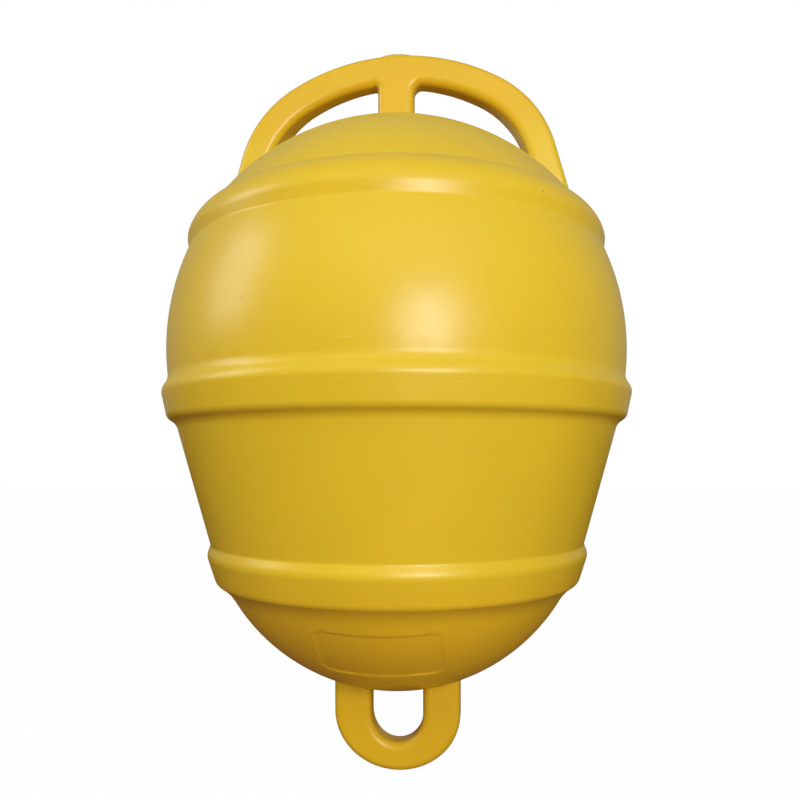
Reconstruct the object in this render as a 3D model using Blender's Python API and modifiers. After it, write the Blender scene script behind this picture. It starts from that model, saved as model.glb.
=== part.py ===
"""Mooring buoy: a one-piece moulded float with a three-point handle on top and a
mooring eye below.

Metres, +Z up. The origin is the centre of the round end of the mooring eye's hole.
X runs along the handle and across the eye, in the plane where the two halves of the
mould met. Y goes through the eye.
"""

import math

import bmesh
import bpy
from mathutils import Matrix, Vector

# Float radii. The mid ring's corner sets the buoy's size: its rounded crest measures
# 400 mm across. The walls and the other rings are set in from that corner.
RING_CORNER_DIAMETER = 0.4013
MID_RING_TAPER = 0.0045
BARREL_SET_IN = 0.0059
CONE_SET_IN = 0.0117
SHOULDER_SET_IN = 0.0218
SHOULDER_UNDERCUT = 0.0014
LEDGE_WIDTH = 0.0187
LOWER_RING_SET_IN = 0.0353
LOWER_RING_PROUD = 0.0031
LOWER_RING_TAPER = 0.0073
LOWER_RING_UNDERSIDE = 0.0105

# Float heights, stacked from the eye upwards.
EYE_TO_BOWL = 0.0243
BOWL_DEPTH = 0.0906
LOWER_RING_FOOT = 0.0065
LOWER_RING_FACE = 0.0236
LOWER_RING_BEVEL = 0.0083
CONE_HEIGHT = 0.1008
MID_RING_FOOT = 0.0042
MID_RING_FACE = 0.0226
MID_RING_BEVEL = 0.0092
BARREL_HEIGHT = 0.1069
SHOULDER_BAND = 0.0094
LEDGE_HEIGHT = 0.0227
CAP_RISE = 0.0818

# How far the barrel and the ledge bow out from straight.
BARREL_BOW = 0.0075
LEDGE_BOW = 0.0035

# How far along its two sides each corner of the outline is rounded.
SHARP = 0.0
CREASE_ROUND = 0.0015
SHOULDER_ROUND = 0.0026
RING_ROUND = 0.0036
RING_ROOT = 0.0045
BOWL_ROOT = 0.0110

# Handle: an oval bar bent to three arcs, which stands on the cap on two legs and a post.
HAND_CLEARANCE = 0.0432
CROWN_RADIUS = 0.1705
CROWN_HALF_ANGLE = math.radians(29.0)
HAUNCH_RADIUS = 0.0888
LEG_LEAN = math.radians(15.5)
BAR_THICKNESS = 0.0241
LEG_THICKNESS = 0.0299
HANDLE_DEPTH = 0.0371
LEG_FILLET = 0.0030
POST_WIDTH = 0.0317
POST_INSET = 0.0010
POST_FILLET = 0.0080
NECK_DIAMETER = 0.0351
NECK_PROUD = 0.0020
NECK_ROUND = 0.0025

# Mooring eye: an oval bar bent to a U, thinner round its bottom than in its legs.
EYE_HOLE_WIDTH = 0.0451
EYE_LEG_THICKNESS = 0.0343
EYE_BOTTOM_THICKNESS = 0.0269
EYE_DEPTH = 0.0371
EYE_FILLET = 0.0080

# Where a bar grows out of the float, its fillet's arc stops this far short of lying
# along the surface, and the bar runs straight on by this reach to end under it.
FILLET_END = math.radians(22)
ROOT_REACH = 0.0070

# Facets: how far a flat may cut inside its arc, and the counts round and along.
ARC_ERROR = 0.0002
TURN_STEPS = 56
BAR_SIDES = 20
ARC_RINGS = 9
FILLET_RINGS = 5

YELLOW = (0.79, 0.55, 0.025, 1.0)

X = Vector((1, 0, 0))
Y = Vector((0, 1, 0))
Z = Vector((0, 0, 1))


def clear_scene():
    for item in list(bpy.data.objects):
        bpy.data.objects.remove(item, do_unlink=True)


def new_collection(name):
    collection = bpy.data.collections.new(name)
    bpy.context.scene.collection.children.link(collection)
    return collection


def plastic():
    """Satin yellow polyethylene."""
    material = bpy.data.materials.new("yellow_polyethylene")
    material.use_nodes = True
    shader = material.node_tree.nodes["Principled BSDF"]
    shader.inputs["Base Color"].default_value = YELLOW
    shader.inputs["Roughness"].default_value = 0.42
    shader.inputs["Metallic"].default_value = 0.0
    return material


def sphere_radius(rim_radius, rise):
    """Radius of the sphere whose cap has this rim radius and this rise."""
    return (rim_radius**2 + rise**2) / (2 * rise)


class Stations:
    """Radii and heights along the float's outline, from the driving sizes."""

    def __init__(self):
        corner = RING_CORNER_DIAMETER / 2
        self.mid_ring = corner
        self.mid_ring_low = corner - MID_RING_TAPER
        self.barrel_low = corner - BARREL_SET_IN
        self.cone_top = corner - CONE_SET_IN
        self.shoulder = corner - SHOULDER_SET_IN
        self.barrel_top = self.shoulder - SHOULDER_UNDERCUT
        self.cap_rim = self.shoulder - LEDGE_WIDTH
        self.lower_ring = corner - LOWER_RING_SET_IN
        self.cone_low = self.lower_ring - LOWER_RING_PROUD
        self.lower_ring_low = self.lower_ring - LOWER_RING_TAPER
        self.bowl_rim = self.lower_ring_low - LOWER_RING_UNDERSIDE

        self.z_bowl = EYE_TO_BOWL
        self.z_bowl_rim = self.z_bowl + BOWL_DEPTH
        self.z_lower_ring_low = self.z_bowl_rim + LOWER_RING_FOOT
        self.z_lower_ring = self.z_lower_ring_low + LOWER_RING_FACE
        self.z_cone_low = self.z_lower_ring + LOWER_RING_BEVEL
        self.z_cone_top = self.z_cone_low + CONE_HEIGHT
        self.z_mid_ring_low = self.z_cone_top + MID_RING_FOOT
        self.z_mid_ring = self.z_mid_ring_low + MID_RING_FACE
        self.z_barrel_low = self.z_mid_ring + MID_RING_BEVEL
        self.z_barrel_top = self.z_barrel_low + BARREL_HEIGHT
        self.z_shoulder = self.z_barrel_top + SHOULDER_BAND
        self.z_cap_rim = self.z_shoulder + LEDGE_HEIGHT
        self.z_cap = self.z_cap_rim + CAP_RISE

        self.cap_sphere = sphere_radius(self.cap_rim, CAP_RISE)
        self.cap_centre = self.z_cap - self.cap_sphere
        self.bowl_sphere = sphere_radius(self.bowl_rim, BOWL_DEPTH)
        self.bowl_centre = self.z_bowl + self.bowl_sphere


def arc_steps(radius, angle):
    """How many flats stand in for an arc."""
    return max(2, math.ceil(angle / (2 * math.acos(1 - ARC_ERROR / radius))))


def arc_between(start, end, bow):
    """Points from start to end on the arc that bows out from the chord, outwards on
    an outline that runs from top to bottom."""
    start = Vector(start)
    end = Vector(end)
    if bow == 0:
        return [start, end]
    chord = end - start
    radius = sphere_radius(chord.length / 2, bow)
    outward = Vector((-chord.y, chord.x)).normalized()
    centre = (start + end) / 2 - outward * (radius - bow)
    half_angle = math.asin(chord.length / 2 / radius)
    steps = arc_steps(radius, 2 * half_angle)
    along = chord.normalized()
    points = []
    for i in range(steps + 1):
        angle = half_angle * (2 * i / steps - 1)
        points.append(centre + radius * (math.cos(angle) * outward + math.sin(angle) * along))
    return points


def cut_back(points, length):
    """The polyline less this length at its end."""
    points = list(points)
    while len(points) > 2 and (points[-1] - points[-2]).length <= length:
        length -= (points[-1] - points[-2]).length
        points.pop()
    step = points[-1] - points[-2]
    length = min(length, step.length / 2)
    points[-1] = points[-1] - step.normalized() * length
    return points


def join_rounded(first, second, reach, steps=2):
    """Two polylines that share a corner, joined with the corner rounded."""
    if reach == SHARP:
        return first + second[1:]
    corner = first[-1]
    first = cut_back(first, reach)
    second = cut_back(second[::-1], reach)[::-1]
    bend = []
    for i in range(1, steps):
        t = i / steps
        bend.append((1 - t) ** 2 * first[-1] + 2 * t * (1 - t) * corner + t**2 * second[0])
    return first + bend + second


def float_outline(at):
    """The float's outline in (radius, height), from the top of the cap to the bottom
    of the bowl."""
    cap_angle = math.asin(at.cap_rim / at.cap_sphere)
    steps = arc_steps(at.cap_sphere, cap_angle)
    outline = []
    for i in range(steps + 1):
        angle = cap_angle * i / steps
        radius = at.cap_sphere * math.sin(angle)
        outline.append(Vector((radius, at.cap_centre + at.cap_sphere * math.cos(angle))))

    corners = [
        (at.cap_rim, at.z_cap_rim, CREASE_ROUND, LEDGE_BOW),
        (at.shoulder, at.z_shoulder, SHOULDER_ROUND, 0),
        (at.barrel_top, at.z_barrel_top, SHARP, BARREL_BOW),
        (at.barrel_low, at.z_barrel_low, RING_ROOT, 0),
        (at.mid_ring, at.z_mid_ring, RING_ROUND, 0),
        (at.mid_ring_low, at.z_mid_ring_low, RING_ROUND, 0),
        (at.cone_top, at.z_cone_top, RING_ROOT, 0),
        (at.cone_low, at.z_cone_low, SHARP, 0),
        (at.lower_ring, at.z_lower_ring, RING_ROUND, 0),
        (at.lower_ring_low, at.z_lower_ring_low, RING_ROUND, 0),
    ]
    ends = corners[1:] + [(at.bowl_rim, at.z_bowl_rim, BOWL_ROOT, 0)]
    for corner, end in zip(corners, ends):
        side = arc_between(corner[:2], end[:2], corner[3])
        outline = join_rounded(outline, side, corner[2])

    bowl_angle = math.asin(at.bowl_rim / at.bowl_sphere)
    steps = arc_steps(at.bowl_sphere, bowl_angle)
    bowl = []
    for i in range(steps + 1):
        angle = bowl_angle * (1 - i / steps)
        radius = at.bowl_sphere * math.sin(angle)
        bowl.append(Vector((radius, at.bowl_centre - at.bowl_sphere * math.cos(angle))))
    return join_rounded(outline, bowl, BOWL_ROOT)


def turned(name, outline, collection):
    """A solid turned round Z from an outline that runs from top to bottom."""
    mesh = bpy.data.meshes.new(name)
    edges = [(i, i + 1) for i in range(len(outline) - 1)]
    mesh.from_pydata([(point.x, 0, point.y) for point in outline], edges, [])
    turned_object = bpy.data.objects.new(name, mesh)
    collection.objects.link(turned_object)
    screw = turned_object.modifiers.new("turn", "SCREW")
    screw.axis = "Z"
    screw.angle = math.tau
    screw.steps = TURN_STEPS
    screw.render_steps = TURN_STEPS
    screw.use_merge_vertices = True
    screw.merge_threshold = 0.0001
    screw.use_smooth_shade = True
    return turned_object


def neck_outline(low, high):
    """The moulding neck on the handle: a short round boss with a rounded rim."""
    radius = NECK_DIAMETER / 2
    outline = [Vector((0, high))]
    for i in range(4):
        angle = math.pi / 2 * i / 3
        across = radius - NECK_ROUND * (1 - math.sin(angle))
        outline.append(Vector((across, high - NECK_ROUND * (1 - math.cos(angle)))))
    outline.append(Vector((radius, low)))
    outline.append(Vector((0, low)))
    return outline


def oval(centre, across, thickness, depth):
    """One section of a bar in the XZ plane, as pairs of a point and its outward normal."""
    ring = []
    for i in range(BAR_SIDES):
        angle = math.tau * i / BAR_SIDES
        point = centre + across * (thickness / 2 * math.cos(angle))
        point += Y * (depth / 2 * math.sin(angle))
        normal = across * (math.cos(angle) / thickness) + Y * (math.sin(angle) / depth)
        ring.append((point, normal.normalized()))
    return ring


def on_sphere(point, direction, centre, radius):
    """Where a line that runs towards a sphere first meets it."""
    offset = point - centre
    along = offset.dot(direction)
    inside = along**2 - offset.length_squared + radius**2
    return point + direction * (-along - math.sqrt(inside))


def root_rings(section, direction, centre, radius, fillet):
    """Rings that carry a bar on from a section into a sphere. On each line of the bar's
    side a ball of the fillet's radius rests in the corner between the line and the
    sphere, and the line follows the ball round and then runs on under the surface."""
    rings = [[] for i in range(FILLET_RINGS + 2)]
    for point, normal in section:
        foot = on_sphere(point, direction, centre, radius)
        up = (foot - centre).normalized()
        ball = foot + (normal + up) * (fillet / (1 + normal.dot(up)))
        hinge = normal.cross(up).normalized()
        sweep = normal.angle(up) - FILLET_END
        for i in range(FILLET_RINGS + 1):
            spoke = Matrix.Rotation(sweep * i / FILLET_RINGS, 3, hinge) @ -normal
            rings[i].append(ball + spoke * fillet)
        rings[-1].append(rings[-2][-1] + hinge.cross(spoke) * ROOT_REACH)
    return rings


def points_of(sections):
    return [[point for point, normal in section] for section in sections]


def mirrored_bar(half):
    """Rings from end to end of a bar, from those of its +X half, crown section first."""
    other = []
    for ring in half[:0:-1]:
        other.append([Vector((-point.x, point.y, point.z)) for point in ring])
    return other + half


def loft(name, rings, collection):
    """A closed bar through rings of points."""
    body = bmesh.new()
    rows = [[body.verts.new(point) for point in ring] for ring in rings]
    for near, far in zip(rows, rows[1:]):
        for i in range(BAR_SIDES):
            j = (i + 1) % BAR_SIDES
            body.faces.new((near[i], near[j], far[j], far[i]))
    body.faces.new(rows[0])
    body.faces.new(rows[-1])
    bmesh.ops.recalc_face_normals(body, faces=body.faces)
    mesh = bpy.data.meshes.new(name)
    body.to_mesh(mesh)
    body.free()
    bar = bpy.data.objects.new(name, mesh)
    collection.objects.link(bar)
    return bar


def swelling_thickness(bottom, leg, angle):
    """Thickness of a bent bar that grows from its middle to its legs."""
    return bottom + (leg - bottom) * math.sin(angle) ** 2


def handle_rings(at, crown_z):
    """The handle's rings from one foot over the crown to the other."""
    crown_centre = Vector((0, 0, crown_z - CROWN_RADIUS))
    to_haunch = Vector((math.sin(CROWN_HALF_ANGLE), 0, math.cos(CROWN_HALF_ANGLE)))
    haunch_centre = crown_centre + to_haunch * (CROWN_RADIUS - HAUNCH_RADIUS)
    leg_angle = math.pi / 2 - LEG_LEAN
    arcs = [
        (crown_centre, CROWN_RADIUS, 0, CROWN_HALF_ANGLE),
        (haunch_centre, HAUNCH_RADIUS, CROWN_HALF_ANGLE, leg_angle),
    ]
    sections = []
    for centre, radius, start, end in arcs:
        for i in range(ARC_RINGS):
            angle = start + (end - start) * i / ARC_RINGS
            across = Vector((math.sin(angle), 0, math.cos(angle)))
            thickness = swelling_thickness(BAR_THICKNESS, LEG_THICKNESS, angle)
            sections.append(oval(centre + across * radius, across, thickness, HANDLE_DEPTH))

    across = Vector((math.sin(leg_angle), 0, math.cos(leg_angle)))
    thickness = swelling_thickness(BAR_THICKNESS, LEG_THICKNESS, leg_angle)
    leg_top = oval(haunch_centre + across * HAUNCH_RADIUS, across, thickness, HANDLE_DEPTH)
    sections.append(leg_top)
    down = Vector((math.sin(LEG_LEAN), 0, -math.cos(LEG_LEAN)))
    cap_centre = Vector((0, 0, at.cap_centre))
    foot = root_rings(leg_top, down, cap_centre, at.cap_sphere, LEG_FILLET)
    return mirrored_bar(points_of(sections) + foot)


def post_rings(at, crown_z):
    """The post's rings, from inside the cap to inside the crown bar. Its top swells
    along the bar only, because the bar is no deeper than the post in front and behind."""
    middle = Vector((0, 0, (at.z_cap + crown_z) / 2))
    section = oval(middle, X, POST_WIDTH, HANDLE_DEPTH - 2 * POST_INSET)
    cap_centre = Vector((0, 0, at.cap_centre))
    foot = root_rings(section, -Z, cap_centre, at.cap_sphere, POST_FILLET)

    crown_centre = crown_z - CROWN_RADIUS
    top = []
    for i in range(FILLET_RINGS + 1):
        angle = (math.pi / 2 - FILLET_END) * i / FILLET_RINGS
        height = POST_FILLET * (1 - math.sin(angle))
        swell = POST_FILLET * (1 - math.cos(angle))
        ring = []
        for point, normal in section:
            x = point.x + normal.x * swell
            half_thickness = BAR_THICKNESS / 2 * math.sqrt(1 - (2 * point.y / HANDLE_DEPTH) ** 2)
            underside = CROWN_RADIUS - half_thickness
            z = crown_centre + math.sqrt(underside**2 - point.x**2) - height
            ring.append(Vector((x, point.y, z)))
        top.append(ring)
    top.append([Vector((point.x, point.y, crown_z)) for point in top[-1]])
    return foot[::-1] + top


def eye_rings(at):
    """The mooring eye's rings, from inside the bowl down round the U and back."""
    bend_radius = (EYE_HOLE_WIDTH + EYE_LEG_THICKNESS) / 2
    sections = []
    for i in range(ARC_RINGS + 1):
        angle = math.pi / 2 * i / ARC_RINGS
        across = Vector((math.sin(angle), 0, -math.cos(angle)))
        thickness = swelling_thickness(EYE_BOTTOM_THICKNESS, EYE_LEG_THICKNESS, angle)
        sections.append(oval(across * bend_radius, across, thickness, EYE_DEPTH))
    bowl_centre = Vector((0, 0, at.bowl_centre))
    root = root_rings(sections[-1], Z, bowl_centre, at.bowl_sphere, EYE_FILLET)
    return mirrored_bar(points_of(sections) + root)


def join(body, limb):
    """Joins a limb to the body with a Boolean union, which leaves the limb as a guide."""
    limb.hide_render = True
    limb.display_type = "WIRE"
    union = body.modifiers.new("join_" + limb.name, "BOOLEAN")
    union.operation = "UNION"
    union.solver = "EXACT"
    union.object = limb


def main():
    clear_scene()
    buoy = new_collection("mooring_buoy")
    limbs = new_collection("limbs")
    at = Stations()
    crown_z = at.z_cap + HAND_CLEARANCE + BAR_THICKNESS / 2

    body = turned("buoy_body", float_outline(at), buoy)
    body.data.materials.append(plastic())

    handle = loft("handle_arch", handle_rings(at, crown_z), limbs)
    post = loft("handle_post", post_rings(at, crown_z), limbs)
    neck_top = crown_z + BAR_THICKNESS / 2 + NECK_PROUD
    neck = turned("moulding_neck", neck_outline(crown_z, neck_top), limbs)
    eye = loft("mooring_eye", eye_rings(at), limbs)
    for limb in (handle, post, neck, eye):
        join(body, limb)


main()
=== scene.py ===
"""Looks of the mooring buoy: one smooth yellow moulding with its mould's parting line, a
bare label panel sunk in the bowl, satin plastic, soft studio light and the camera.

Metres, in the frame of the CAD part: +Z up, the origin at the round end of the eye's
hole, X along the handle and Y through the eye.
"""

import math

import bmesh
import bpy
from mathutils import Matrix, Vector


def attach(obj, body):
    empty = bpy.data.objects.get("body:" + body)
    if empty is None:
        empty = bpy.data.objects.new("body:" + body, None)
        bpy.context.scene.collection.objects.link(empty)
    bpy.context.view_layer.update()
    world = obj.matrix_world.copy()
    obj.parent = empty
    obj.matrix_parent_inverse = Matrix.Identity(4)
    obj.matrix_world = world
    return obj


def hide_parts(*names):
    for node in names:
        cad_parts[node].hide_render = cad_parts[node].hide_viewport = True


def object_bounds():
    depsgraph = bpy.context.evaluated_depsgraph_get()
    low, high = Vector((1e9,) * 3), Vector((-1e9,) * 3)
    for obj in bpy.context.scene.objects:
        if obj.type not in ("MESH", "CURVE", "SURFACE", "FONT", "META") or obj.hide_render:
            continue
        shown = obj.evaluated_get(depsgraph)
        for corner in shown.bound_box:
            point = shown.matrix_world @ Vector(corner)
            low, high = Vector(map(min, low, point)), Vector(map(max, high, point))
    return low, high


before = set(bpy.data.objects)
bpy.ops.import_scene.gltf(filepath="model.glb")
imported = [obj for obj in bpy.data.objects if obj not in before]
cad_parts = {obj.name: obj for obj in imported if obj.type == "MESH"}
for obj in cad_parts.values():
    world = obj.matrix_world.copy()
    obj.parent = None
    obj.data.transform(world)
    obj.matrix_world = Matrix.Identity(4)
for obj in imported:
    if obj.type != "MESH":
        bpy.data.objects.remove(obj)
CAD_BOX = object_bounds()

# Float outline, as the CAD part has it. Its corners are pairs of a radius, set in from
# the mid ring's corner, and a height above the centre of the eye's hole.
CORNER = 0.4013 / 2
SHOULDER_SET_IN = 0.0218
LEDGE_WIDTH = 0.0187
LOWER_RING_SET_IN = 0.0353
LOWER_RING_PROUD = 0.0031
LOWER_RING_TAPER = 0.0073
LOWER_RING_UNDERSIDE = 0.0105
CAP_RIM = (CORNER - SHOULDER_SET_IN - LEDGE_WIDTH, 0.4291)
SHOULDER = (CORNER - SHOULDER_SET_IN, 0.4064)
BARREL_TOP = (CORNER - 0.0232, 0.3970)
BARREL_LOW = (CORNER - 0.0059, 0.2901)
MID_RING = (CORNER, 0.2809)
MID_RING_LOW = (CORNER - 0.0045, 0.2583)
CONE_TOP = (CORNER - 0.0117, 0.2541)
CONE_LOW = (CORNER - LOWER_RING_SET_IN - LOWER_RING_PROUD, 0.1533)
LOWER_RING = (CORNER - LOWER_RING_SET_IN, 0.1450)
LOWER_RING_LOW = (CORNER - LOWER_RING_SET_IN - LOWER_RING_TAPER, 0.1214)
BOWL_RIM = (CORNER - LOWER_RING_SET_IN - LOWER_RING_TAPER - LOWER_RING_UNDERSIDE, 0.1149)
CAP_TOP = 0.5109
BOWL_BOTTOM = 0.0243
BARREL_BOW = 0.0075
LEDGE_BOW = 0.0035
BOWL_RIM_REACH = 0.0110

# Handle and eye, close to the CAD part's lines. The photograph shows bars with a flat
# front and rounded edges. The CAD part's bars are oval and deeper.
EDGE_RADIUS = 0.0065
CROWN_Z = 0.56595
CROWN_RADIUS = 0.1686
CROWN_HALF_ANGLE = math.radians(29.2)
HAUNCH_RADIUS = 0.0911
LEG_LEAN = math.radians(16.3)
BAR_THICKNESS = 0.0251
CROWN_DEPTH = 0.0205
LEG_DEPTH = 0.0329
LEG_FILLET = 0.0030
POST_WIDTH = 0.0317
POST_INSET = 0.0001
POST_FOOT_FILLET = 0.0060
POST_FILLET_PLUS_X = 0.0080
POST_FILLET_MINUS_X = 0.0040
NECK_WIDTH = 0.0385
NECK_DEPTH = 0.0180
NECK_TOP = 0.5801
NECK_SHRINK = 0.60
NECK_ROOT = 0.0030
EYE_HOLE_WIDTH = 0.0461
EYE_LEG_THICKNESS = 0.0331
EYE_BOTTOM_THICKNESS = 0.0251
EYE_DEPTH = 0.0241
EYE_FILLET = 0.0050

# Label panel: bare, sunk into the front of the bowl, and bent up towards its sides.
PANEL_HALF_WIDTH = 0.0480
PANEL_HALF_HEIGHT = 0.0196
PANEL_HEIGHT = 0.0794
PANEL_CORNER = 0.0070
PANEL_BEND = 0.0034
PANEL_DEPTH = 0.0011
PANEL_CORE = 0.02

# Mesh density.
TURN_STEPS = 240
CAP_STEPS = 40
BOWL_STEPS = 44
BEND_STEPS = 8
CROWN_STEPS = 24
HAUNCH_STEPS = 20
LEG_STEPS = 8
POST_STEPS = 6
EYE_STEPS = 28
EYE_LEG_STEPS = 6
CORNER_STEPS = 9
FLAT_STEPS = 4
FILLET_RINGS = 10
NECK_STEPS = 12
NECK_TURN_STEPS = 64
PANEL_CORNER_STEPS = 8
PANEL_SIDE_STEPS = 24
PANEL_RINGS = 12

# A root's fillet stops this far short of the float's surface, and goes on straight into
# the float for this length.
FILLET_END = math.radians(9)
ROOT_REACH = 0.0080

# The parting line: a low ridge where the two halves of the mould met. The float is sunk
# by RIDGE_SINK, so that the ridge stays inside the CAD part's box.
RIDGE_HEIGHT = 0.00022
RIDGE_SINK = 0.00034
RIDGE_HALF_WIDTH = 0.0007
RIDGE_TURNS = (-0.8, -0.4, -0.2, 0.2, 0.4, 0.8)

X = Vector((1, 0, 0))
Y = Vector((0, 1, 0))
Z = Vector((0, 0, 1))


def sphere_radius(rim_radius, rise):
    """Radius of a sphere that rises this much over a rim of this radius."""
    return (rim_radius**2 + rise**2) / (2 * rise)


CAP_SPHERE = sphere_radius(CAP_RIM[0], CAP_TOP - CAP_RIM[1])
CAP_CENTRE = Vector((0, 0, CAP_TOP - CAP_SPHERE))
BOWL_SPHERE = sphere_radius(BOWL_RIM[0], BOWL_RIM[1] - BOWL_BOTTOM)
BOWL_CENTRE = Vector((0, 0, BOWL_BOTTOM + BOWL_SPHERE))


# Meshes

def new_object(name, build):
    """An object whose mesh is filled by build(bmesh)."""
    body = bmesh.new()
    build(body)
    bmesh.ops.recalc_face_normals(body, faces=body.faces)
    for face in body.faces:
        face.smooth = True
    mesh = bpy.data.meshes.new(name)
    body.to_mesh(mesh)
    body.free()
    item = bpy.data.objects.new(name, mesh)
    bpy.context.scene.collection.objects.link(item)
    return item


def skin_rings(body, rings):
    """Closed skin over rings of points, with a flat end on the first and the last."""
    rows = [[body.verts.new(point) for point in ring] for ring in rings]
    for near, far in zip(rows, rows[1:]):
        for i, vertex in enumerate(near):
            j = (i + 1) % len(near)
            body.faces.new((vertex, near[j], far[j], far[i]))
    body.faces.new(rows[0])
    body.faces.new(rows[-1])


def arc_between(start, end, bow, steps):
    """Points from start to end, straight or on the arc that bows out from the chord."""
    start = Vector(start)
    end = Vector(end)
    if bow == 0:
        return [start.lerp(end, i / steps) for i in range(steps + 1)]
    chord = end - start
    radius = sphere_radius(chord.length / 2, bow)
    outward = Vector((-chord.y, chord.x)).normalized()
    centre = (start + end) / 2 - outward * (radius - bow)
    half_angle = math.asin(chord.length / 2 / radius)
    along = chord.normalized()
    points = []
    for i in range(steps + 1):
        angle = half_angle * (2 * i / steps - 1)
        points.append(centre + radius * (math.cos(angle) * outward + math.sin(angle) * along))
    return points


def cut_back(points, length):
    """The polyline with this length taken off its end, where its last part allows it."""
    points = list(points)
    while len(points) > 2 and (points[-1] - points[-2]).length <= length:
        length -= (points[-1] - points[-2]).length
        points.pop()
    step = points[-1] - points[-2]
    points[-1] = points[-1] - step.normalized() * min(length, step.length * 0.9)
    return points


def join_rounded(first, second, reach):
    """Two polylines that share a corner, joined with the corner rounded this far out."""
    corner = first[-1]
    first = cut_back(first, reach)
    second = cut_back(second[::-1], reach)[::-1]
    bend = []
    for i in range(1, BEND_STEPS):
        t = i / BEND_STEPS
        bend.append((1 - t) ** 2 * first[-1] + 2 * t * (1 - t) * corner + t**2 * second[0])
    return first + bend + second


def float_outline():
    """The float's outline in (radius, height), from the cap's top to the bowl's bottom."""
    cap_angle = math.asin(CAP_RIM[0] / CAP_SPHERE)
    outline = []
    for i in range(CAP_STEPS + 1):
        angle = cap_angle * i / CAP_STEPS
        outline.append(Vector((CAP_SPHERE * math.sin(angle),
                               CAP_CENTRE.z + CAP_SPHERE * math.cos(angle))))
    # Start, end, how far the start's rounding reaches, bow and steps of each side.
    sides = [
        (CAP_RIM, SHOULDER, 0.0020, LEDGE_BOW, 10),
        (SHOULDER, BARREL_TOP, 0.0026, 0, 4),
        (BARREL_TOP, BARREL_LOW, 0.0010, BARREL_BOW, 30),
        (BARREL_LOW, MID_RING, 0.0045, 0, 5),
        (MID_RING, MID_RING_LOW, 0.0036, 0, 8),
        (MID_RING_LOW, CONE_TOP, 0.0036, 0, 3),
        (CONE_TOP, CONE_LOW, 0.0045, 0, 26),
        (CONE_LOW, LOWER_RING, 0.0012, 0, 4),
        (LOWER_RING, LOWER_RING_LOW, 0.0036, 0, 8),
        (LOWER_RING_LOW, BOWL_RIM, 0.0036, 0, 5),
    ]
    for start, end, reach, bow, steps in sides:
        outline = join_rounded(outline, arc_between(start, end, bow, steps), reach)
    bowl_angle = math.asin(BOWL_RIM[0] / BOWL_SPHERE)
    bowl = []
    for i in range(BOWL_STEPS + 1):
        angle = bowl_angle * (1 - i / BOWL_STEPS)
        bowl.append(Vector((BOWL_SPHERE * math.sin(angle),
                            BOWL_CENTRE.z - BOWL_SPHERE * math.cos(angle))))
    return join_rounded(outline, bowl, BOWL_RIM_REACH)


def ridge(offset):
    """Height of the parting line's ridge at this distance from its middle."""
    return RIDGE_HEIGHT * max(0.0, 1 - (offset / RIDGE_HALF_WIDTH) ** 2)


def turn_angles():
    """Angles round the float, with close ones across the parting line at each side."""
    angles = [math.tau * i / TURN_STEPS for i in range(TURN_STEPS)]
    for middle in (0, math.pi):
        for offset in RIDGE_TURNS:
            angles.append((middle + math.radians(offset)) % math.tau)
    return sorted(angles)


def build_float(body):
    """The float, turned from its outline, with the parting line's ridge on its sides."""
    outline = float_outline()
    angles = turn_angles()
    top = body.verts.new((0, 0, outline[0].y))
    bottom = body.verts.new((0, 0, outline[-1].y))
    rows = []
    for radius, height in outline[1:-1]:
        row = []
        for angle in angles:
            r = radius - RIDGE_SINK + ridge(radius * math.sin(angle))
            row.append(body.verts.new((r * math.cos(angle), r * math.sin(angle), height)))
        rows.append(row)
    count = len(angles)
    for i in range(count):
        j = (i + 1) % count
        body.faces.new((top, rows[0][i], rows[0][j]))
        body.faces.new((bottom, rows[-1][j], rows[-1][i]))
        for near, far in zip(rows, rows[1:]):
            body.faces.new((near[i], far[i], far[j], near[j]))


def bar_section(centre, across, thickness, depth):
    """One section of a bar in the XZ plane, a rectangle with rounded corners, as pairs of
    a point and its outward normal."""
    ring = []
    for corner in range(4):
        start = math.pi / 2 * corner
        along = math.copysign(thickness / 2 - EDGE_RADIUS, math.cos(start + math.pi / 4))
        back = math.copysign(depth / 2 - EDGE_RADIUS, math.sin(start + math.pi / 4))
        core = centre + across * along + Y * back
        for i in range(CORNER_STEPS + 1):
            angle = start + math.pi / 2 * i / CORNER_STEPS
            normal = across * math.cos(angle) + Y * math.sin(angle)
            ring.append((core + normal * EDGE_RADIUS, normal))
        flat = (across * -2 * along) if corner % 2 == 0 else (Y * -2 * back)
        for i in range(1, FLAT_STEPS):
            ring.append((ring[-1][0] + flat / FLAT_STEPS, normal))
    return ring


def on_sphere(point, direction, centre, radius):
    """Where a line that runs towards a sphere first meets it."""
    offset = point - centre
    along = offset.dot(direction)
    inside = along**2 - offset.length_squared + radius**2
    return point + direction * (-along - math.sqrt(inside))


def root_rings(section, direction, centre, radius, fillet):
    """Rings that carry a bar on from a section into a sphere round a fillet."""
    rings = [[] for _ in range(FILLET_RINGS + 2)]
    for point, normal in section:
        foot = on_sphere(point, direction, centre, radius)
        up = (foot - centre).normalized()
        ball = foot + (normal + up) * (fillet / (1 + normal.dot(up)))
        hinge = normal.cross(up).normalized()
        sweep = normal.angle(up) - FILLET_END
        for i in range(FILLET_RINGS + 1):
            spoke = Matrix.Rotation(sweep * i / FILLET_RINGS, 3, hinge) @ -normal
            rings[i].append(ball + spoke * fillet)
        rings[-1].append(rings[-2][-1] + hinge.cross(spoke) * ROOT_REACH)
    return rings


def points_of(sections):
    """The sections' points, without their normals."""
    return [[point for point, normal in section] for section in sections]


def mirrored_bar(half):
    """Rings from end to end of a bar, from those of its +X half, crown section first."""
    other = []
    for ring in half[:0:-1]:
        other.append([Vector((-point.x, point.y, point.z)) for point in ring])
    return other + half


def swelling(middle, leg, angle):
    """A size of a bent bar that grows from its middle to its legs."""
    return middle + (leg - middle) * math.sin(angle) ** 2


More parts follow.
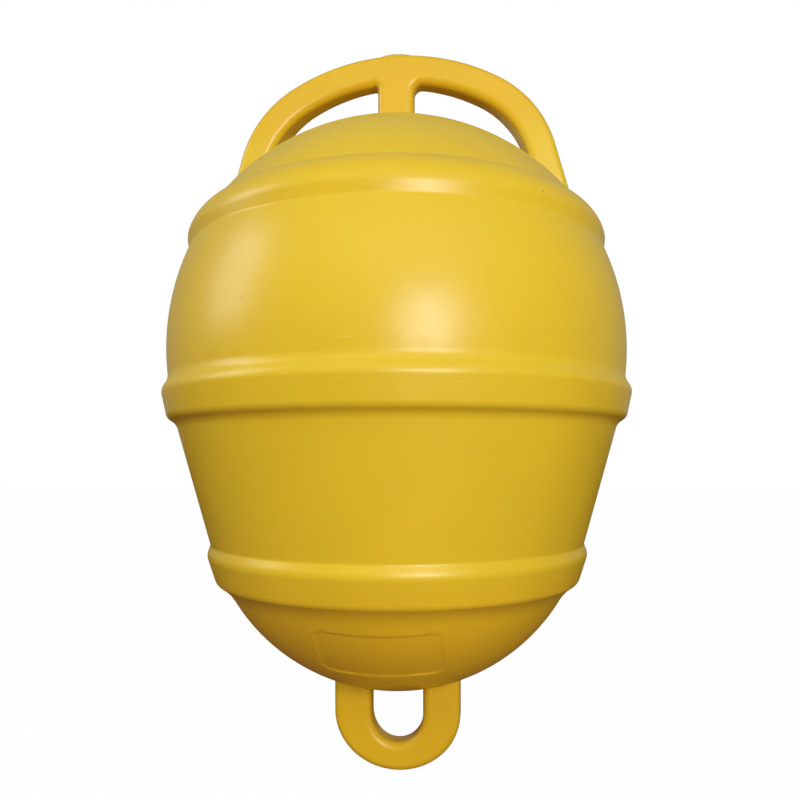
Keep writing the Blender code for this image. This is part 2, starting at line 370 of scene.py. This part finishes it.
def between_rings(first, second, count):
    """Rings evenly spaced between two rings, without either of them."""
    rings = []
    for k in range(1, count):
        rings.append([a.lerp(b, k / count) for a, b in zip(first, second)])
    return rings


def handle_rings():
    """The arch's rings: a flat crown arc, a tighter haunch arc and a straight leg a side."""
    crown_centre = Vector((0, 0, CROWN_Z - CROWN_RADIUS))
    to_haunch = Vector((math.sin(CROWN_HALF_ANGLE), 0, math.cos(CROWN_HALF_ANGLE)))
    haunch_centre = crown_centre + to_haunch * (CROWN_RADIUS - HAUNCH_RADIUS)
    leg_angle = math.pi / 2 - LEG_LEAN
    arcs = [
        (crown_centre, CROWN_RADIUS, 0, CROWN_HALF_ANGLE, CROWN_STEPS),
        (haunch_centre, HAUNCH_RADIUS, CROWN_HALF_ANGLE, leg_angle, HAUNCH_STEPS),
    ]
    sections = []
    for centre, radius, start, end, steps in arcs:
        for i in range(steps):
            angle = start + (end - start) * i / steps
            across = Vector((math.sin(angle), 0, math.cos(angle)))
            depth = swelling(CROWN_DEPTH, LEG_DEPTH, angle)
            sections.append(bar_section(centre + across * radius, across, BAR_THICKNESS, depth))
    across = Vector((math.sin(leg_angle), 0, math.cos(leg_angle)))
    depth = swelling(CROWN_DEPTH, LEG_DEPTH, leg_angle)
    middle = haunch_centre + across * HAUNCH_RADIUS
    leg_top = bar_section(middle, across, BAR_THICKNESS, depth)
    sections.append(leg_top)
    down = Vector((math.sin(LEG_LEAN), 0, -math.cos(LEG_LEAN)))
    foot = root_rings(leg_top, down, CAP_CENTRE, CAP_SPHERE, LEG_FILLET)
    half = points_of(sections)
    return mirrored_bar(half + between_rings(half[-1], foot[0], LEG_STEPS) + foot)


def crown_half_thickness(y):
    """Half the crown's thickness at this distance in front of or behind its middle."""
    past_flat = abs(y) - (CROWN_DEPTH / 2 - EDGE_RADIUS)
    if past_flat <= 0:
        return BAR_THICKNESS / 2
    return BAR_THICKNESS / 2 - EDGE_RADIUS + math.sqrt(EDGE_RADIUS**2 - past_flat**2)


def post_rings():
    """The post's rings. At its top each line of its side turns outwards along the crown's
    underside, round a fillet that grows with the rounded edge's inset."""
    middle = Vector((0, 0, (CAP_TOP + CROWN_Z) / 2))
    section = bar_section(middle, X, POST_WIDTH, CROWN_DEPTH - 2 * POST_INSET)
    foot = root_rings(section, -Z, CAP_CENTRE, CAP_SPHERE, POST_FOOT_FILLET)
    crown_centre = CROWN_Z - CROWN_RADIUS
    top = []
    for i in range(FILLET_RINGS + 1):
        angle = (math.pi / 2 - FILLET_END) * i / FILLET_RINGS
        ring = []
        for point, normal in section:
            edge_inset = EDGE_RADIUS * (1 - abs(normal.x))
            fillet = POST_FILLET_PLUS_X if point.x > 0 else POST_FILLET_MINUS_X
            fillet += edge_inset
            swell = fillet * (1 - math.cos(angle)) / (POST_WIDTH / 2 - edge_inset)
            x = point.x * (1 + swell)
            underside = CROWN_RADIUS - crown_half_thickness(point.y)
            z = crown_centre + math.sqrt(underside**2 - x**2) - fillet * (1 - math.sin(angle))
            ring.append(Vector((x, point.y, z)))
        top.append(ring)
    top.append([Vector((point.x, point.y, CROWN_Z)) for point in top[-1]])
    return foot[::-1] + between_rings(foot[0], top[0], POST_STEPS) + top


def eye_rings():
    """The eye's rings: a half circle round its hole and a straight leg a side."""
    bend_radius = (EYE_HOLE_WIDTH + EYE_LEG_THICKNESS) / 2
    sections = []
    for i in range(EYE_STEPS + 1):
        angle = math.pi / 2 * i / EYE_STEPS
        across = Vector((math.sin(angle), 0, -math.cos(angle)))
        thickness = swelling(EYE_BOTTOM_THICKNESS, EYE_LEG_THICKNESS, angle)
        sections.append(bar_section(across * bend_radius, across, thickness, EYE_DEPTH))
    root = root_rings(sections[-1], Z, BOWL_CENTRE, BOWL_SPHERE, EYE_FILLET)
    half = points_of(sections)
    return mirrored_bar(half + between_rings(half[-1], root[0], EYE_LEG_STEPS) + root)


def neck_rings():
    """The low oval dome that the moulding neck left on the crown."""
    low = CROWN_Z + BAR_THICKNESS / 2 - NECK_ROOT
    levels = [(1, CROWN_Z)]
    for i in range(NECK_STEPS + 1):
        angle = math.pi / 2 * i / NECK_STEPS
        scale = 1 - NECK_SHRINK * (1 - math.cos(angle))
        levels.append((scale, low + (NECK_TOP - low) * math.sin(angle)))
    rings = []
    for scale, z in levels:
        ring = []
        for i in range(NECK_TURN_STEPS):
            angle = math.tau * i / NECK_TURN_STEPS
            x = NECK_WIDTH / 2 * scale * math.cos(angle)
            ring.append(Vector((x, NECK_DEPTH / 2 * scale * math.sin(angle), z)))
        rings.append(ring)
    return rings


def panel_outline(inset):
    """The label panel's outline, inset by this much, as pairs of x and height."""
    half_width = PANEL_HALF_WIDTH - inset
    half_height = PANEL_HALF_HEIGHT - inset
    corner = PANEL_CORNER - inset
    outline = []
    for turn in range(4):
        start = math.pi / 2 * turn
        corner_x = math.copysign(half_width - corner, math.cos(start + math.pi / 4))
        corner_z = math.copysign(half_height - corner, math.sin(start + math.pi / 4))
        for i in range(PANEL_CORNER_STEPS + 1):
            angle = start + math.pi / 2 * i / PANEL_CORNER_STEPS
            x = corner_x + corner * math.cos(angle)
            z = corner_z + corner * math.sin(angle)
            outline.append((x, z))
        end_x, end_z = (-x, z) if turn % 2 == 0 else (x, -z)
        for i in range(1, PANEL_SIDE_STEPS):
            t = i / PANEL_SIDE_STEPS
            outline.append((x + (end_x - x) * t, z + (end_z - z) * t))
    return outline


def panel_ring(inset, share, depth):
    """The outline shrunk to this share of its size, this deep under the bowl."""
    ring = []
    for x, z in panel_outline(inset):
        x *= share
        height = PANEL_HEIGHT + z * share + PANEL_BEND * (x / PANEL_HALF_WIDTH) ** 2
        radius = BOWL_SPHERE - depth
        y = -math.sqrt(radius**2 - x**2 - (height - BOWL_CENTRE.z) ** 2)
        ring.append(Vector((x, y, height)))
    return ring


def panel_rings():
    """A shallow block that follows the bowl and sinks the label panel into it."""
    shares = [PANEL_CORE + (1 - PANEL_CORE) * i / PANEL_RINGS for i in range(PANEL_RINGS)]
    outside = [panel_ring(-PANEL_DEPTH, share, -PANEL_DEPTH) for share in shares]
    wall = [
        panel_ring(-PANEL_DEPTH, 1, -PANEL_DEPTH),
        panel_ring(PANEL_DEPTH, 1, PANEL_DEPTH),
    ]
    floor = [panel_ring(PANEL_DEPTH, share, PANEL_DEPTH) for share in shares[::-1]]
    return outside + wall + floor


def add_boolean(item, other, operation):
    """A Boolean modifier on item, worked with the other object."""
    boolean = item.modifiers.new(other.name, "BOOLEAN")
    boolean.operation = operation
    boolean.solver = "EXACT"
    boolean.object = other


def buoy_skin():
    """The whole buoy as one closed skin."""
    skin = new_object("buoy_skin", build_float)
    limbs = [
        new_object("handle_arch", lambda body: skin_rings(body, handle_rings())),
        new_object("handle_post", lambda body: skin_rings(body, post_rings())),
        new_object("moulding_neck", lambda body: skin_rings(body, neck_rings())),
        new_object("mooring_eye", lambda body: skin_rings(body, eye_rings())),
    ]
    for limb in limbs:
        add_boolean(skin, limb, "UNION")
    panel = new_object("label_panel", lambda body: skin_rings(body, panel_rings()))
    add_boolean(skin, panel, "DIFFERENCE")
    graph = bpy.context.evaluated_depsgraph_get()
    mesh = bpy.data.meshes.new_from_object(skin.evaluated_get(graph))
    skin.modifiers.clear()
    skin.data = mesh
    for tool in limbs + [panel]:
        bpy.data.objects.remove(tool)
    mesh.shade_smooth()
    weighted = skin.modifiers.new("weighted_normals", "WEIGHTED_NORMAL")
    weighted.mode = "FACE_AREA_WITH_ANGLE"
    weighted.weight = 60
    return skin


# Material

BODY_YELLOW = (0.79, 0.550, 0.025, 1)
# Painted shade colour for the bowl and the eye, and the handle's deeper yellow.
SHADE_AND_DEEP_YELLOW = (0.80, 0.500, 0.018, 1)
SCUFF_YELLOW = (0.86, 0.68, 0.16, 1)
SPECK_BROWN = (0.40, 0.25, 0.05, 1)

# The deeper yellow comes in from the first height of each pair to the second. Below the bowl's
# heights it is painted shade, the orange of the shaded bowl and eye; above the handle's heights
# it is the handle's deeper yellow.
BOWL_SHADE_FADE = (0.150, 0.105)
HANDLE_FADE = (0.495, 0.520)
CLOUD_VALUE = (0.955, 1.035)
SCUFF_SHARE = 0.45
SPECK_SHARE = 0.55
ROUGHNESS = (0.31, 0.37)
SCUFF_ROUGHNESS = 0.12
PLASTIC_IOR = 1.43
LINE_RELIEF = 0.8
SCUFF_RELIEF = 0.5
BUMP_STRENGTH = 0.35
BUMP_DISTANCE = 0.00012


def add_node(tree, kind, inputs, **settings):
    """A node with its settings, and with each input given a value or a link."""
    node = tree.nodes.new(kind)
    for name, value in settings.items():
        setattr(node, name, value)
    for name, value in inputs.items():
        if isinstance(value, bpy.types.NodeSocket):
            tree.links.new(value, node.inputs[name])
        else:
            node.inputs[name].default_value = value
    return node


def ranged(tree, value, low, high, to_low=0.0, to_high=1.0):
    """The value mapped from low..high to to_low..to_high and clamped."""
    node = add_node(tree, "ShaderNodeMapRange", {
        "Value": value, "From Min": low, "From Max": high, "To Min": to_low, "To Max": to_high})
    return node.outputs[0]


def combined(tree, operation, first, second):
    """Two values combined by a Math node."""
    return add_node(tree, "ShaderNodeMath", {0: first, 1: second}, operation=operation).outputs[0]


def blended(tree, share, first, second):
    """Two colours mixed by a share."""
    node = add_node(tree, "ShaderNodeMix", {0: share, 6: first, 7: second}, data_type="RGBA")
    return node.outputs[2]


def stretched_noise(tree, place, stretch, scale, detail):
    """Noise whose frequency on each axis is multiplied by stretch."""
    mapping = add_node(tree, "ShaderNodeMapping", {"Vector": place, "Scale": stretch})
    noise = add_node(tree, "ShaderNodeTexNoise", {
        "Vector": mapping.outputs[0], "Scale": scale, "Detail": detail})
    return noise.outputs[0]


def yellow_plastic():
    """Satin plastic: painted shade as a deeper orange yellow in the bowl and the eye, a deeper
    yellow on the handle, cloudy colour, orange peel, fine upright lines from the mould, faint
    scuffs and a few specks."""
    material = bpy.data.materials.new("yellow_polyethylene_skin")
    material.use_nodes = True
    tree = material.node_tree
    shader = tree.nodes["Principled BSDF"]
    place = tree.nodes.new("ShaderNodeTexCoord").outputs["Object"]
    height = add_node(tree, "ShaderNodeSeparateXYZ", {0: place}).outputs[2]

    # Painted shade: the bowl and the eye fade to the deeper orange of their shade, and the handle
    # fades to a deeper yellow.
    bowl_shade = ranged(tree, height, *BOWL_SHADE_FADE)
    in_handle = ranged(tree, height, *HANDLE_FADE)
    colour = blended(tree, combined(tree, "MAXIMUM", bowl_shade, in_handle),
                     BODY_YELLOW, SHADE_AND_DEEP_YELLOW)
    clouds = stretched_noise(tree, place, (1, 1, 1), 9, 4)
    colour = add_node(tree, "ShaderNodeHueSaturation", {
        "Value": ranged(tree, clouds, 0.3, 0.7, *CLOUD_VALUE), "Color": colour}).outputs[0]

    scratches = stretched_noise(tree, place, (1, 1, 9), 55, 3)
    patches = stretched_noise(tree, place, (1, 1, 1), 14, 1)
    scuffs = combined(tree, "MULTIPLY", ranged(tree, scratches, 0.66, 0.74),
                      ranged(tree, patches, 0.55, 0.70))
    scuffed = combined(tree, "MULTIPLY", scuffs, SCUFF_SHARE)
    colour = blended(tree, scuffed, colour, SCUFF_YELLOW)

    cells = add_node(tree, "ShaderNodeTexVoronoi", {"Vector": place, "Scale": 60})
    near = ranged(tree, cells.outputs["Distance"], 0.075, 0.045)
    chosen = add_node(tree, "ShaderNodeSeparateColor", {0: cells.outputs["Color"]}).outputs[0]
    specks = combined(tree, "MULTIPLY", near, ranged(tree, chosen, 0.955, 0.960))
    speckled = combined(tree, "MULTIPLY", specks, SPECK_SHARE)
    colour = blended(tree, speckled, colour, SPECK_BROWN)
    tree.links.new(colour, shader.inputs["Base Color"])

    mottle = stretched_noise(tree, place, (1, 1, 1), 60, 3)
    roughness = ranged(tree, mottle, 0.3, 0.7, *ROUGHNESS)
    rougher = combined(tree, "MULTIPLY", scuffs, SCUFF_ROUGHNESS)
    roughness = combined(tree, "ADD", roughness, rougher)
    tree.links.new(roughness, shader.inputs["Roughness"])
    shader.inputs["IOR"].default_value = PLASTIC_IOR

    peel = stretched_noise(tree, place, (1, 1, 1), 330, 2)
    lines = stretched_noise(tree, place, (1, 1, 0.012), 620, 2)
    relief = combined(tree, "ADD", peel, combined(tree, "MULTIPLY", lines, LINE_RELIEF))
    relief = combined(tree, "ADD", relief, combined(tree, "MULTIPLY", scuffs, SCUFF_RELIEF))
    bump = add_node(tree, "ShaderNodeBump", {
        "Height": relief, "Strength": BUMP_STRENGTH, "Distance": BUMP_DISTANCE})
    tree.links.new(bump.outputs[0], shader.inputs["Normal"])
    return material


# Studio

AMBIENT_COLOUR = (1.0, 0.85, 0.65, 1)
AMBIENT_STRENGTH = 0.06
WHITE = (1, 1, 1, 1)
GLOSS_SHARE = 0.3
FLOOR_BOUNCE = (0.36, 0.22, 0.10, 1)
FLOOR_PALE = (0.9, 0.9, 0.9, 1)
FLOOR_GLOW = 0.985
FLOOR_SIZE = 6

# Name, place in the camera's frame, target, width and height, and watts of each lamp.
LAMPS = [
    ("key", (0.47, -1.95, 0.62), (0, 0, 0.28), (0.7, 0.7), 27),
    ("upper", (0.1, -1.3, 1.6), (0, 0, 0.3), (2.2, 1.2), 7.5),
    ("side_left", (-1.9, -0.3, 1.3), (0, 0, 0.3), (0.8, 1.2), 15),
]


def world_light():
    """A dim warm world that is white to the camera and through glass, and shows a share
    of that white in gloss."""
    world = bpy.data.worlds.new("studio")
    bpy.context.scene.world = world
    world.use_nodes = True
    tree = world.node_tree
    tree.nodes.clear()
    path = tree.nodes.new("ShaderNodeLightPath")
    seen = combined(tree, "MAXIMUM", path.outputs["Is Camera Ray"],
                    path.outputs["Is Transmission Ray"])
    gloss = combined(tree, "MULTIPLY", path.outputs["Is Glossy Ray"], GLOSS_SHARE)
    seen = combined(tree, "MAXIMUM", seen, gloss)
    ambient = tree.nodes.new("ShaderNodeBackground")
    ambient.inputs["Color"].default_value = AMBIENT_COLOUR
    ambient.inputs["Strength"].default_value = AMBIENT_STRENGTH
    white = tree.nodes.new("ShaderNodeBackground")
    white.inputs["Color"].default_value = WHITE
    white.inputs["Strength"].default_value = 1.0
    mix = tree.nodes.new("ShaderNodeMixShader")
    output = tree.nodes.new("ShaderNodeOutputWorld")
    tree.links.new(seen, mix.inputs[0])
    tree.links.new(ambient.outputs[0], mix.inputs[1])
    tree.links.new(white.outputs[0], mix.inputs[2])
    tree.links.new(mix.outputs[0], output.inputs[0])


def floor_material():
    """White to the camera apart from a soft shadow, and brown to the light it bounces."""
    material = bpy.data.materials.new("studio_floor")
    material.use_nodes = True
    tree = material.node_tree
    tree.nodes.clear()
    path = tree.nodes.new("ShaderNodeLightPath")
    bounce = tree.nodes.new("ShaderNodeBsdfDiffuse")
    bounce.inputs["Color"].default_value = FLOOR_BOUNCE
    pale = tree.nodes.new("ShaderNodeBsdfDiffuse")
    pale.inputs["Color"].default_value = FLOOR_PALE
    glow = tree.nodes.new("ShaderNodeEmission")
    glow.inputs["Color"].default_value = WHITE
    seen = tree.nodes.new("ShaderNodeMixShader")
    seen.inputs[0].default_value = FLOOR_GLOW
    mix = tree.nodes.new("ShaderNodeMixShader")
    output = tree.nodes.new("ShaderNodeOutputMaterial")
    tree.links.new(pale.outputs[0], seen.inputs[1])
    tree.links.new(glow.outputs[0], seen.inputs[2])
    tree.links.new(path.outputs["Is Camera Ray"], mix.inputs[0])
    tree.links.new(bounce.outputs[0], mix.inputs[1])
    tree.links.new(seen.outputs[0], mix.inputs[2])
    tree.links.new(mix.outputs[0], output.inputs[0])
    return material


def area_light(name, place, target, size, power):
    light = bpy.data.lights.new(name, "AREA")
    light.shape = "RECTANGLE"
    light.size, light.size_y = size
    light.energy = power
    item = bpy.data.objects.new(name, light)
    item.location = place
    item.rotation_euler = (Vector(target) - Vector(place)).to_track_quat("-Z", "Y").to_euler()
    item.visible_camera = False
    bpy.context.scene.collection.objects.link(item)


def studio():
    world_light()
    floor = new_object("floor", lambda body: bmesh.ops.create_grid(
        body, x_segments=1, y_segments=1, size=FLOOR_SIZE))
    floor.location = (0, 0, CAD_BOX[0][2])
    floor.data.materials.append(floor_material())
    for name, place, target, size, power in LAMPS:
        area_light(name, placed(*place), target, size, power)


# Camera: where it stood, from a fit of the float's outline to the photograph. FOCAL and
# PRINCIPAL are shares of the photograph's width.
TURN = math.radians(6.6)
DISTANCE = 0.6473
HEIGHT = 0.2241
FOCAL = 724 / 800
PRINCIPAL = (404.24 / 800, 473.28 / 800)
YAW, PITCH, ROLL = (math.radians(angle) for angle in (0.534, -1.064, -0.136))
SENSOR = 36.0


def placed(x, y, z):
    """A point given in the camera's frame, whose X runs to its right."""
    c, s = math.cos(TURN), math.sin(TURN)
    return Vector((x * c - y * s, x * s + y * c, z))


def camera():
    cy, sy = math.cos(YAW), math.sin(YAW)
    cp, sp = math.cos(PITCH), math.sin(PITCH)
    cr, sr = math.cos(ROLL), math.sin(ROLL)
    forward = placed(cp * sy, cp * cy, sp)
    level_right = placed(cy, -sy, 0)
    level_up = placed(-sp * sy, -sp * cy, cp)
    right = level_right * cr + level_up * sr
    up = level_up * cr - level_right * sr
    data = bpy.data.cameras.new("camera")
    data.sensor_width = SENSOR
    data.lens = SENSOR * FOCAL
    data.shift_x = 0.5 - PRINCIPAL[0]
    data.shift_y = PRINCIPAL[1] - 0.5
    data.clip_start = 0.01
    item = bpy.data.objects.new("camera", data)
    axes = Matrix((right, up, -forward)).transposed().to_4x4()
    item.matrix_world = Matrix.Translation(placed(0, -DISTANCE, HEIGHT)) @ axes
    bpy.context.scene.collection.objects.link(item)
    bpy.context.scene.camera = item


camera()
studio()
skin = buoy_skin()
skin.data.materials.clear()
skin.data.materials.append(yellow_plastic())
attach(skin, "root")
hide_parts("buoy_body")
bpy.context.scene.view_settings.view_transform = "Standard"
